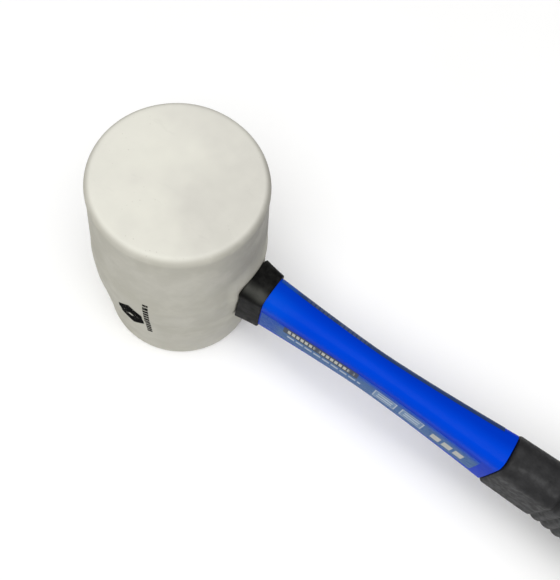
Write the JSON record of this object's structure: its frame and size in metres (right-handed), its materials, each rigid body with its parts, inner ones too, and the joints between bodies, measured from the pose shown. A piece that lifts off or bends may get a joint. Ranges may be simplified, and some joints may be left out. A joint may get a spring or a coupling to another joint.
{
  "type": "rubber mallet",
  "caption": "White barrel-shaped rubber mallet head on a blue jacketed fibreglass handle with a black collar, soft grip and hanging hole.",
  "frame": {"origin": "centre of the lower striking face of the head", "axes": "+Z along the head's axis towards the upper striking face, +X along the handle away from the head, +Y across the handle"},
  "size_m": [0.3505, 0.0754, 0.109],
  "materials": {
    "white_rubber": "matte",
    "resin": "gloss",
    "dark_plastic": "satin",
    "glass_fibre": "satin",
    "blue_plastic": "gloss",
    "collar_rubber": "satin",
    "grip_rubber": "matte",
    "label_film": "gloss"
  },
  "bodies": {
    "root": {"rubber_head": "white_rubber", "eye_bond": "resin", "retaining_wedge": "dark_plastic", "fibreglass_core": "glass_fibre", "handle_jacket": "blue_plastic", "collar": "collar_rubber", "label_near": "label_film", "label_far": "label_film", "grip_sleeve": "grip_rubber", "end_cap": "dark_plastic"}
  },
  "joints": []
}
